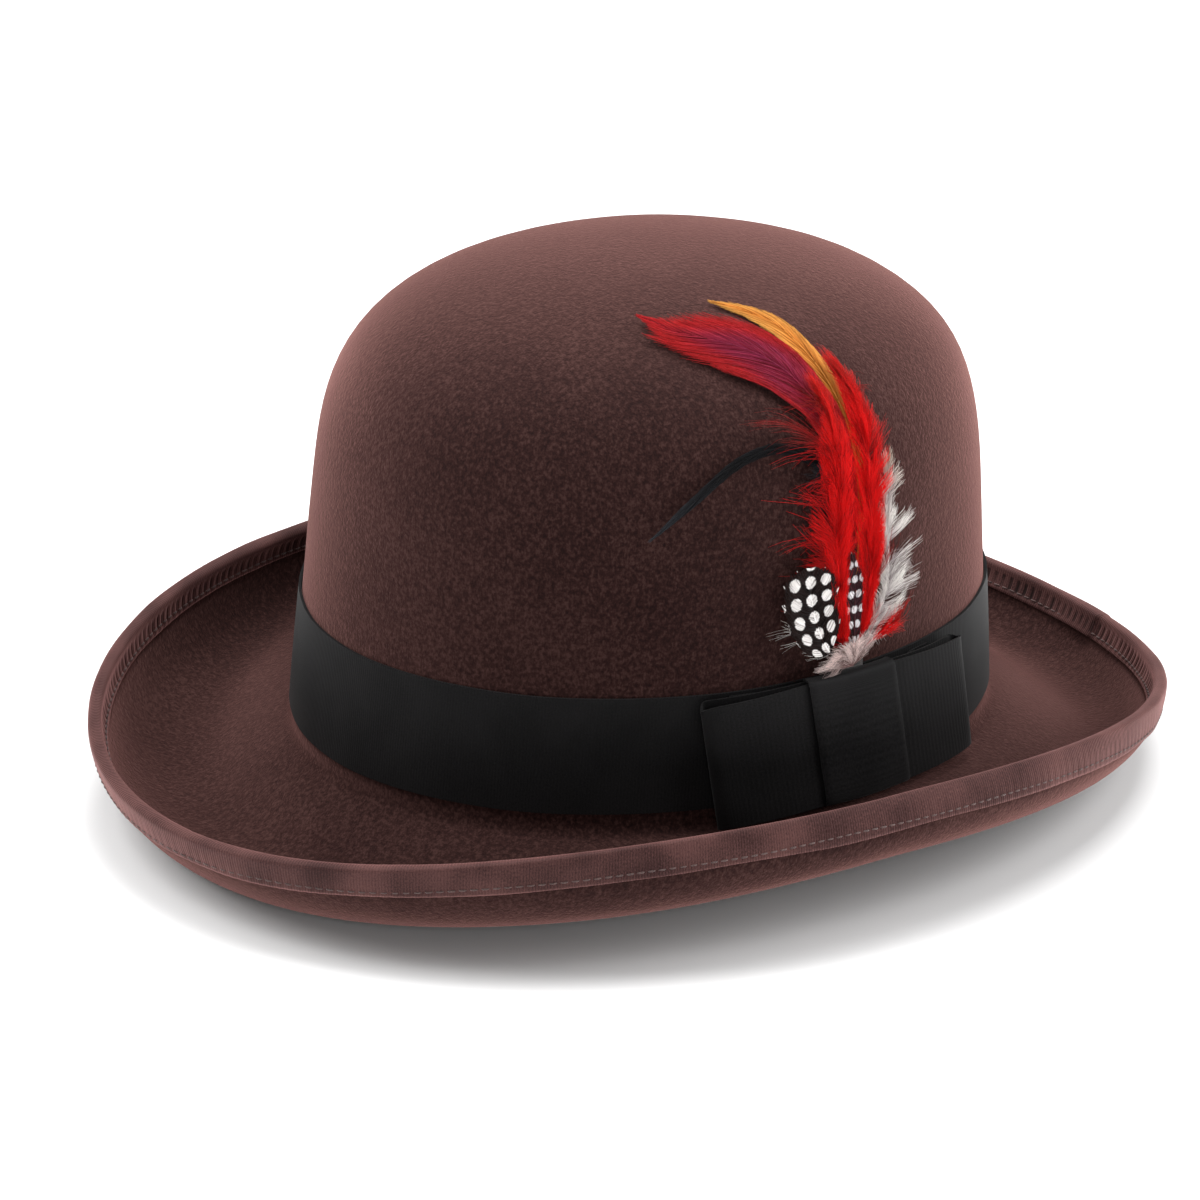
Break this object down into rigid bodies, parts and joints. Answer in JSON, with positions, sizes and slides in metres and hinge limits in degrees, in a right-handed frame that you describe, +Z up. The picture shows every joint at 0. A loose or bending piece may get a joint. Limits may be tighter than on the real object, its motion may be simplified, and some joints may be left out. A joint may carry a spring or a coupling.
{
  "type": "bowler hat",
  "caption": "Brown felt bowler hat with a curled bound brim, black ribbon band, flat side bow and a pull-out mount of red, golden, black, pale and spotted feathers.",
  "frame": {"origin": "on the surface that the hat stands on, under the middle of its outline", "axes": "+X towards the wearer's left, where the bow and feathers are; +Y towards the back of the hat; +Z up through the crown"},
  "size_m": [0.26, 0.3261, 0.1565],
  "materials": {
    "felt": "brushed wool felt, matte with a soft sheen, reddish chocolate brown",
    "binding": "brown ribbed grosgrain ribbon",
    "brown_thread": "brown sewing thread",
    "band_ribbon": "black ribbed grosgrain ribbon, satin",
    "sweatband_leather": "tan sheepskin, smooth and slightly glossy",
    "reed": "cloth-covered plastic reed",
    "sweatband_ribbon": "narrow black satin ribbon",
    "satin_lining": "bronze satin weave, soft gloss",
    "quill_thread": "fine waxed thread wound round the quills",
    "golden_feather": "dyed hackle, golden yellow to orange",
    "red_feather": "dyed feather, deep red",
    "black_feather": "natural black hackle with a grey tip",
    "pale_feather": "grizzly hackle, cream with grey bars",
    "spotted_feather": "guinea fowl feather, black with white spots",
    "down": "soft grey-brown down"
  },
  "bodies": {
    "hat": {"felt_body": "felt", "brim_binding": "binding", "binding_thread_upper": "brown_thread", "binding_thread_under": "brown_thread", "hat_band": "band_ribbon", "bow_backing": "band_ribbon", "bow_front_loop": "band_ribbon", "bow_rear_loop": "band_ribbon", "bow_wrap": "band_ribbon", "sweatband": "sweatband_leather", "sweatband_reed": "reed", "sweatband_thread": "brown_thread", "sweatband_bow": "sweatband_ribbon", "lining_side": "satin_lining", "lining_tip": "satin_lining"},
    "feather_mount": {"quill_wrap": "quill_thread", "golden_hackle": "golden_feather", "red_hackle": "red_feather", "black_hackle": "black_feather", "grizzly_hackle": "pale_feather", "rear_plume": "red_feather", "front_plume": "red_feather", "slim_guinea_feather": "spotted_feather", "broad_guinea_feather": "spotted_feather", "red_tuft": "red_feather", "down_tuft": "down"}
  },
  "joints": [
    {"name": "feather_pull", "type": "slide", "parent": "hat", "child": "feather_mount", "axis": [-0.0346, -0.0049, 0.9994], "range_m": [0, 0.03]}
  ]
}
